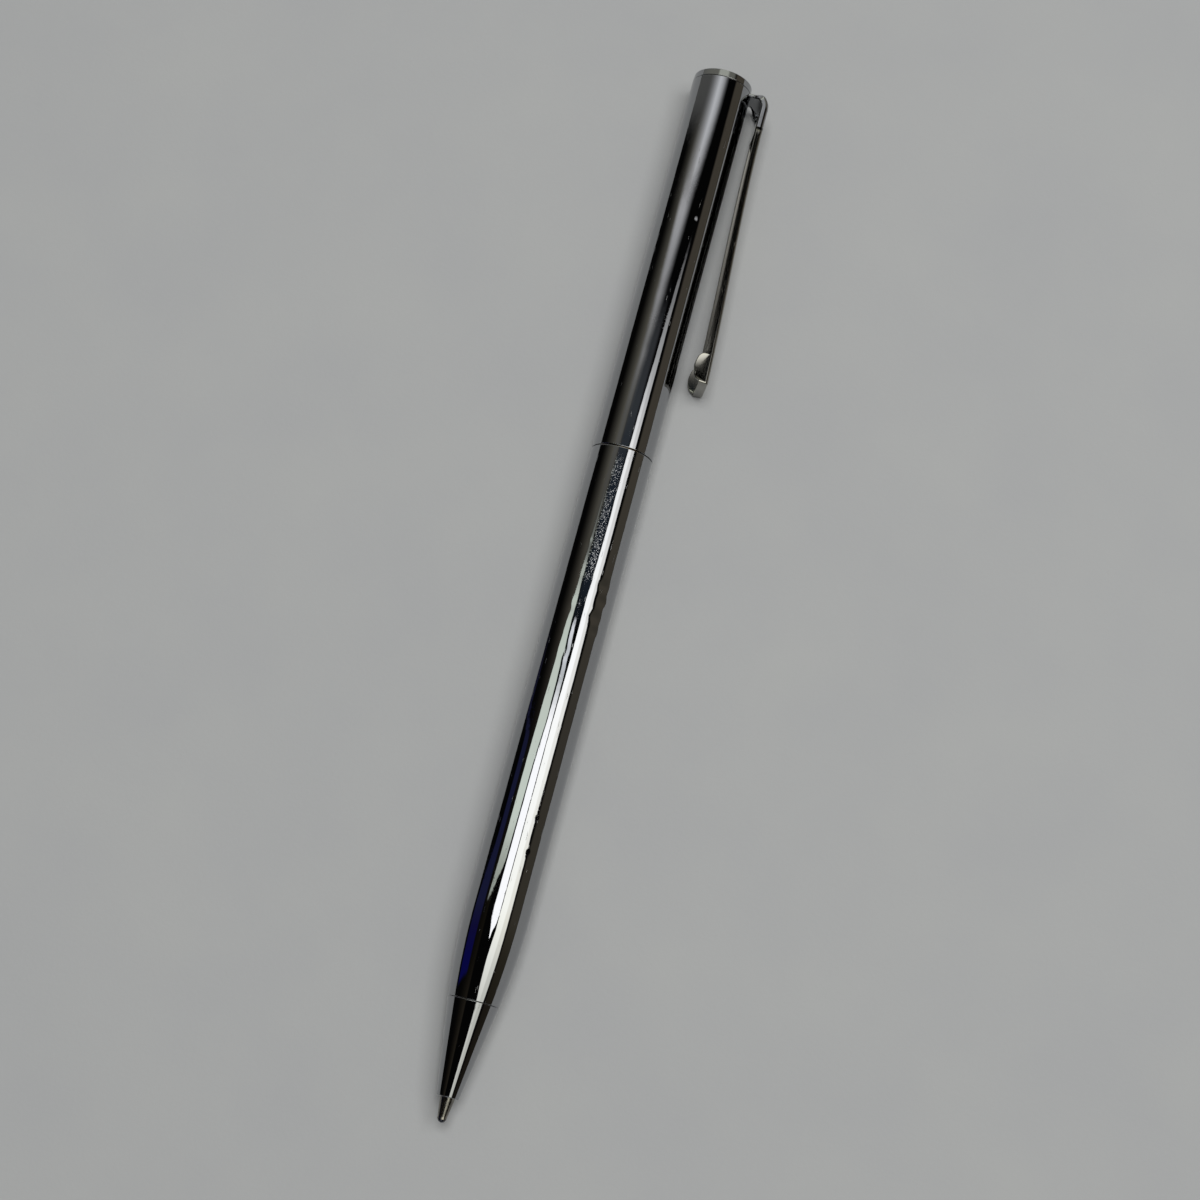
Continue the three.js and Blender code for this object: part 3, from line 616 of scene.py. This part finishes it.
# The refill point: turned from nickel silver bar, with its rim rolled over the ball. The tool's rings and a
# film of dried ink make it duller than the plate.
nickel_silver = new_material("turned_nickel_silver")
tree = nickel_silver.node_tree
place = object_place(tree)
rings = add_node(tree, "TexWave", {"Vector": place, "Scale": 2600.0, "Distortion": 0.3},
                 bands_direction="Y")
film = add_node(tree, "TexNoise", {"Vector": place, "Scale": 1500.0, "Detail": 3.0})
tone = mix_colours(tree, film.outputs["Fac"], linear("#a09c92"), linear("#5d5b58"))
rough = add_node(tree, "MapRange", {"Value": film.outputs["Fac"], "To Min": 0.12, "To Max": 0.35})
lines = add_node(tree, "Bump", {"Height": rings.outputs["Fac"], "Distance": 0.000003, "Strength": 0.5})
principled(tree, {"Base Color": tone, "Metallic": 1.0,
                  "Roughness": rough.outputs["Result"], "Normal": lines.outputs["Normal"]})
ball_radius = 0.5
socket_radius = 0.53
ink_bore = 0.2
rolled_over = 0.15
rolled_rim = 0.045
socket_turn = np.linspace(math.asin(ink_bore / socket_radius),
                          math.pi / 2 + math.asin(rolled_over / socket_radius), 14)
socket_along = ball_radius + socket_radius * np.cos(socket_turn)
socket = np.stack([socket_radius * np.sin(socket_turn), socket_along], -1)
point_outline = [(socket[-1, 0] + rolled_rim, socket[-1, 1], 0.02), (0.56, 0.65, 0.2),
                 (0.9, nose_start, 0), (1.15, 4.55, 0.3), (1.15, 8.5, 0.3), (1.6, 8.95, 0.1),
                 (1.6, 10.0, 0.05), (1.3, 10.0, 0.05), (1.3, 13.0, 0.05), (ink_bore, 13.0, 0.02),
                 (ink_bore, socket[0, 1], 0)]
point_outline += [(r, y, 0) for r, y in socket[1:]]
point_rows = outline(point_outline, longest=1.0)
turned_piece("refill_point", point_rows, nickel_silver, "refill", 96)

# The writing ball: ground from tungsten carbide, 1 mm across, and held in its socket by the rolled rim. It is
# dark grey and wet with ink.
carbide = new_material("ground_tungsten_carbide")
tree = carbide.node_tree
place = object_place(tree)
film = add_node(tree, "TexNoise", {"Vector": place, "Scale": 3000.0, "Detail": 2.0})
tone = mix_colours(tree, film.outputs["Fac"], linear("#585a60"), linear("#2f313b"))
rough = add_node(tree, "MapRange", {"Value": film.outputs["Fac"], "To Min": 0.1, "To Max": 0.3})
principled(tree, {"Base Color": tone, "Metallic": 1.0, "Roughness": rough.outputs["Result"]})
ball_turn = np.linspace(0, math.pi, 33)
ball_rows = np.stack([ball_radius * np.sin(ball_turn), ball_radius * (1 - np.cos(ball_turn)),
                      np.sin(ball_turn), -np.cos(ball_turn)], -1)
ball_rows[[0, -1], 0] = 0
turned_piece("writing_ball", ball_rows, carbide, "ball", 64)

# The upper barrel: a second drawn and plated tube, which turns against the lower one. A notch in its rim lets
# the clip's neck out.
clip_joint = next(joint for joint in frame["joints"] if joint["name"] == "clip_flex")
clip_across = np.array(clip_joint["axis"], float)
clip_out = np.cross([0, 1, 0], clip_across)
clip_angle = math.atan2(clip_out[2], clip_out[0])
upper_start = 82.95
rim = 134.4
notch_floor = 133.85
notch_half = 1.6
notch_reach = 2.5
bore_radius = barrel_radius - barrel_wall
upper_rows = outline([(barrel_radius, upper_start, 0.1), (barrel_radius, rim, 0.06),
                      (bore_radius, rim, 0.05), (bore_radius, upper_start, 0.05)], longest=0.5)
upper_dings = [(1.17, 114.2, 0.24, 0.011), (1.62, 96.0, 1.2, 0.005), (1.6, 104.0, 1.3, 0.004)]
upper_points, upper_faces, upper_normals = turned(upper_rows, 240, upper_dings)
from_notch = np.abs(np.arctan2(upper_points[:, 2], upper_points[:, 0]) - clip_angle) * barrel_radius
# At the notch the tube's last stretch is drawn together, so that its rim comes down to the notch's floor
drawn_in = np.clip((upper_points[:, 1] - rim + notch_reach) / (notch_reach - 0.2), 0, 1)
upper_points[:, 1] -= (rim - notch_floor) * drawn_in * (from_notch < notch_half)
fit_piece("upper_barrel", to_row(upper_points), upper_faces, chrome, "upper", upper_normals)

# The end cap: a turned disc that closes the pen, with a screwed stem behind it. Its edge leans in a little
# towards the end, so it mirrors the pale wall, and a fine seam shows between it and the barrel's rim.
stem_end = 128.05
stem_radius = 1.5
disc_back = 134.45
disc_face = 135.4
cap_outline = [(0, stem_end, 0), (stem_radius, stem_end, 0.1), (stem_radius, disc_back, 0.05),
               (3.88, disc_back, 0.05), (3.84, disc_face, 0.14), (0, disc_face, 0)]
turned_piece("end_cap", outline(cap_outline, closed=False, longest=1.0), chrome, "upper")

# The clip bracket: one strip of spring steel, pressed and plated. Its eye lies under the end cap, its neck
# comes out through the notch, and it arches over and widens into a hollow head.
bracket_plate = plated("chromium_plate_on_pressed_strip", "#a2a3a5", 0.07, 0.3)
clip_sheet = 0.4
clip_half = 3.0
edge_round = 0.45
lip_round = 0.08


def channel_rings(top, lip, roof, half, rounding, draft=0.0, arc_steps=6):
    """Rings round a channel's section, one for each station. Each ring starts at one lip, goes round the
    outer side, and comes back along the inner side. Points are (level, across), and top, lip, roof, half and
    rounding hold one number for each station: the outer face's level, the lips', the inner face's, half the
    outer face's width and the rounding of its edges. The walls lean out by the draft for each millimetre
    below the face. A point close to each arc's ends keeps the flats between them flat."""
    stations = np.broadcast_arrays(top, lip, roof, half, rounding)
    top, lip, roof, half, rounding = (np.atleast_1d(value)[:, None] for value in stations)
    bend = np.linspace(0, math.pi / 2, arc_steps + 1)[None, :]
    small = np.linspace(0, math.pi / 2, 4)[None, :]
    beside = 0.03
    wall = half + draft * rounding
    lip_half = half + draft * (top - lip)
    inner = half + draft * (top - roof) - clip_sheet
    lip_out = np.stack([lip + lip_round * (1 - np.cos(small)),
                        lip_half - lip_round * (1 - np.sin(small))], -1)
    lip_in = np.stack([lip + lip_round * (1 - np.sin(small)),
                       lip_half - clip_sheet + lip_round * (1 - np.cos(small))], -1)
    wall_low = np.stack([lip + lip_round + beside, lip_half - draft * (lip_round + beside)], -1)
    wall_high = np.stack([top - rounding - beside, wall + draft * beside], -1)
    outer = np.stack([top - rounding * (1 - np.sin(bend)), wall - rounding * (1 - np.cos(bend))], -1)
    fold = np.minimum(0.12, (roof - lip) / 2)
    inside = np.stack([roof - fold * (1 - np.sin(small)), inner - fold * (1 - np.cos(small))], -1)
    mid = np.linspace(1, -1, 7)[None, 1:-1]
    face_edge = wall - rounding - beside
    middle = np.stack([top + 0 * mid, face_edge * mid], -1)
    face_side = np.stack([top, face_edge], -1)
    side = np.concatenate([lip_in, lip_out, wall_low, wall_high, outer, face_side], 1)
    other = side[:, ::-1] * np.array([1, -1])
    return np.concatenate([side, middle, other, inside * np.array([1, -1]), inside[:, ::-1]], 1)


def loft(rings):
    """Joins rings of points into one closed skin, with a flat face over each end, and turns it outwards."""
    count = rings.shape[1]
    label = np.arange(rings.shape[0] * count).reshape(rings.shape[:2])
    ahead = np.roll(label, -1, axis=1)
    quads = np.stack([label[:-1], ahead[:-1], ahead[1:], label[1:]], -1).reshape(-1, 4)
    points = rings.reshape(-1, 3)
    outwards = six_volumes(points - points.mean(0), quads) > 0
    faces = quads.tolist() + [label[0][::-1].tolist(), label[-1].tolist()]
    return points, faces if outwards else [face[::-1] for face in faces]


def from_clip(points):
    """Points given as (out, along, across) of the clip, in millimetres, as metres in the row frame."""
    points = np.asarray(points)
    placed = clip_out * points[..., 0:1] + clip_across * points[..., 2:3]
    placed[..., 1] = points[..., 1]
    return to_row(placed)


def joined(*parts):
    """Several closed skins as one list of points and one of faces."""
    points = np.concatenate([part[0] for part in parts])
    start = np.cumsum([0] + [len(part[0]) for part in parts[:-1]])
    faces = [[corner + s for corner in face] for s, part in zip(start.tolist(), parts) for face in part[1]]
    return points, faces


# The strip's path: straight out as the neck, a quarter of an ellipse as the arch, straight down as the head
head_out = 6.4
head_end = 129.4
eye_top = rim
neck_start = 1.8
arch_start = 4.15
arch_along = 2.35
arch_out = head_out - arch_start
straight_steps = 8
beside_arch = 0.05
neck_out = np.linspace(neck_start, arch_start - beside_arch, straight_steps)
head_along = np.linspace(eye_top - arch_along - beside_arch, head_end, straight_steps)
level = np.ones(straight_steps)
bend = np.linspace(0, math.pi / 2, 20)
path_out = np.concatenate([neck_out, arch_start + arch_out * np.sin(bend), head_out * level])
path_along = np.concatenate([eye_top * level, eye_top - arch_along * (1 - np.cos(bend)), head_along])
face_out = np.concatenate([0 * level, arch_along * np.sin(bend), level])
face_along = np.concatenate([level, arch_out * np.cos(bend), 0 * level])
face_length = np.hypot(face_out, face_along)
face_out, face_along = face_out / face_length, face_along / face_length
# The section's share of the way from the narrow neck to the wide head, which rises smoothly over the arch
share = np.clip((path_out - arch_start) / (arch_out * 0.7), 0, 1)
share = share * share * (3 - 2 * share)
neck_half = 1.55
neck_round = 0.26
neck_fold = 0.42
head_fold = 0.9
path_half = neck_half + (clip_half - neck_half) * share
path_round = neck_round + (edge_round - neck_round) * share
fold_depth = neck_fold + (head_fold - neck_fold) * share
section = channel_rings(0.0, -fold_depth, -clip_sheet, path_half, path_round)
head_rings = np.stack([path_out[:, None] + face_out[:, None] * section[..., 0],
                       path_along[:, None] + face_along[:, None] * section[..., 0], section[..., 1]], -1)
# The eye, a flat ring that the end cap's stem passes through
eye_hole = 1.65
eye_edge = 3.45
eye_low = 133.9
eye_rows = outline([(eye_hole, eye_low, 0.05), (eye_edge, eye_low, 0.05), (eye_edge, eye_top, 0.05),
                    (eye_hole, eye_top, 0.05)])
eye_points, eye_faces, _ = turned(eye_rows, 96)
head_points, head_faces = loft(head_rings)
bracket_points, bracket_faces = joined((from_clip(head_points), head_faces),
                                       (to_row(eye_points), eye_faces))
fit_piece("clip_bracket", bracket_points, bracket_faces, bracket_plate, "upper")

# The clip arm: a long pressed channel of the same plated spring steel, open towards the barrel. It bows
# outwards, its sides deepen towards the free end, and two rounded ears there grip the cloth. Both ends are
# closed.
# The arm's colour is darker and more olive than the bracket's, though its plate is the same: painted shade
# and a painted olive reflection.
arm_plate = plated("chromium_plate_with_painted_dark_reflection", "#8c8a83", 0.09, 0.3)
arm_start = 129.2
arm_length = 35.2
arm_end = arm_start - arm_length
end_out = 7.9
ear_length = 3.6
ear_height = 0.95
ear_middle = arm_end + 0.25 + ear_length / 2
wall_depth = 0.85
wall_deepening = 0.45
face_half = 2.8
wall_draft = 0.088


def arm_face(along):
    """How far out the arm's outer face is: a cubic Bezier curve over four levels at equal steps along."""
    t = (arm_start - along) / arm_length
    levels = head_out + (end_out - head_out) * np.array([0, 0.03, 0.77, 1])
    return ((1 - t) ** 3 * levels[0] + 3 * t * (1 - t) ** 2 * levels[1] + 3 * t ** 2 * (1 - t) * levels[2]
            + t ** 3 * levels[3])


def arm_sections(along, inset, walled):
    """Rings of the arm at places along it, drawn in by an inset at its rounded ends. The rings of a closing
    wall are filled to near its lip. An ear is half an ellipse below the lip."""
    t = (arm_start - along) / arm_length
    top = arm_face(along)
    wall_lip = top - (wall_depth + wall_deepening * t ** 2)
    ear = ear_height * np.sqrt(np.maximum(0, 1 - ((along - ear_middle) / (ear_length / 2)) ** 2))
    roof = wall_lip + 0.1 if walled else top - clip_sheet
    ring = channel_rings(top - inset, wall_lip - ear + inset, roof, face_half - inset,
                         edge_round - inset / 2, wall_draft)
    return np.stack([ring[..., 0], along[:, None] + 0 * ring[..., 0], ring[..., 1]], -1)


end_round = 0.14
quarter = np.linspace(0, math.pi / 2, 5)
round_inset = end_round * (1 - np.sin(quarter))
round_along = end_round * (1 - np.cos(quarter))
ear_steps = ear_middle - ear_length / 2 * np.cos(np.linspace(0, math.pi, 31))
body_steps = np.linspace(ear_steps[-1], arm_start - clip_sheet, 60)[1:]
low_inside = arm_end + clip_sheet
along = np.concatenate([arm_end + round_along, ear_steps[ear_steps < low_inside], [low_inside]])
inset = np.concatenate([round_inset, np.zeros(len(along) - len(round_inset))])
low_wall = arm_sections(along, inset, True)
along = np.concatenate([[low_inside], ear_steps[ear_steps > low_inside], body_steps])
channel = arm_sections(along, 0.0, False)
along = np.concatenate([[arm_start - clip_sheet], arm_start - round_along[::-1]])
high_wall = arm_sections(along, np.concatenate([[0], round_inset[::-1]]), True)
arm_points, arm_faces = loft(np.concatenate([low_wall, channel, high_wall]))
# The tongue, a flat strip on the arm's end that slips into the bracket's hollow head
tongue_under = 5.45
tongue_over = 5.85
tongue_half = 1.7
tongue_rings = np.array([[(tongue_under, end, -tongue_half), (tongue_over, end, -tongue_half),
                          (tongue_over, end, tongue_half), (tongue_under, end, tongue_half)]
                         for end in (128.85, 132.2)])
tongue_points, tongue_faces = loft(tongue_rings)
arm_points, arm_faces = joined((arm_points, arm_faces), (tongue_points, tongue_faces))
fit_piece("clip_arm", from_clip(arm_points), arm_faces, arm_plate, "clip")
